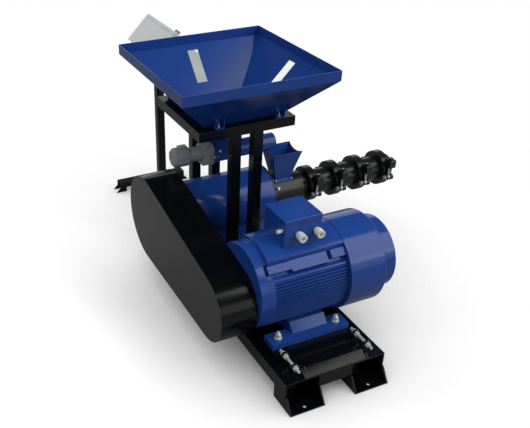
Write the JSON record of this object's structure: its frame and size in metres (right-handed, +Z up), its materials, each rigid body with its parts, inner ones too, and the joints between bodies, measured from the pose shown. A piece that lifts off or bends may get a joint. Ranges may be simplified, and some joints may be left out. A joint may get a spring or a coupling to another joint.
{
  "type": "single-screw extruder",
  "caption": "Belt-driven single-screw extruder on a channel base: clamped barrel, screw feeder under a square hopper, finned motor and a control box on a post.",
  "frame": {"origin": "on the floor at the centre of the four anchor holes in the base feet", "axes": "+X along the screw from the belt guard to the die, +Y from the motor end of the base to the control box, +Z up"},
  "size_m": [1.52, 2.527, 1.2106],
  "materials": {
    "black_paint": "satin black enamel",
    "blackened_steel": "heat-proof black paint on machined steel",
    "blue_paint": "semi-gloss blue enamel",
    "clear_pane": "clear sheet",
    "grey_paint": "satin grey enamel",
    "light_grey_paint": "fine textured light grey powder coat",
    "red_plastic": "moulded red plastic",
    "white_plastic": "moulded white plastic",
    "zinc": "bright zinc plate"
  },
  "bodies": {
    "root": {"barrel_segment_1": "blackened_steel", "barrel_segment_2": "blackened_steel", "barrel_segment_3": "blackened_steel", "barrel_segment_4": "blackened_steel", "bearing_housing": "blue_paint", "belt_guard": "black_paint", "cable_glands": "white_plastic", "clamp_bolts": "zinc", "clamp_nuts": "blackened_steel", "clamp_pins": "zinc", "control_box": "light_grey_paint", "control_buttons": "grey_paint", "control_door": "light_grey_paint", "control_post": "black_paint", "control_side_plate": "light_grey_paint", "cross_member_front": "black_paint", "cross_member_middle": "black_paint", "cross_member_rear": "black_paint", "die_head": "blackened_steel", "emergency_stop": "red_plastic", "feed_funnel": "blue_paint", "feed_section": "blackened_steel", "feeder_flange": "blue_paint", "feeder_gearbox": "grey_paint", "feeder_motor": "grey_paint", "feeder_terminal_box": "grey_paint", "feeder_trough": "blue_paint", "feeder_tube": "blue_paint", "foot_front_left": "black_paint", "foot_front_right": "black_paint", "foot_rear_left": "black_paint", "foot_rear_right": "black_paint", "hopper": "blue_paint", "hopper_brackets": "blue_paint", "hopper_outlet": "blue_paint", "housing_cover": "blackened_steel", "longeron_left": "black_paint", "longeron_right": "black_paint", "motor_drive_end_shield": "blue_paint", "motor_fan_cowl": "blue_paint", "motor_frame": "blue_paint", "motor_slide_plate": "black_paint", "motor_terminal_box": "blue_paint", "motor_terminal_lid": "blue_paint", "pedestal": "blue_paint", "post_front_left": "black_paint", "post_front_right": "black_paint", "post_rear_left": "black_paint", "post_rear_right": "black_paint", "ring_clamp_1": "blackened_steel", "ring_clamp_2": "blackened_steel", "ring_clamp_3": "blackened_steel", "ring_clamp_4": "blackened_steel", "ring_frame": "black_paint", "sight_panes": "clear_pane", "stand_bar": "black_paint", "stand_tie": "black_paint", "tension_bar": "black_paint", "tension_bolt_left": "zinc", "tension_bolt_right": "zinc"}
  },
  "joints": []
}
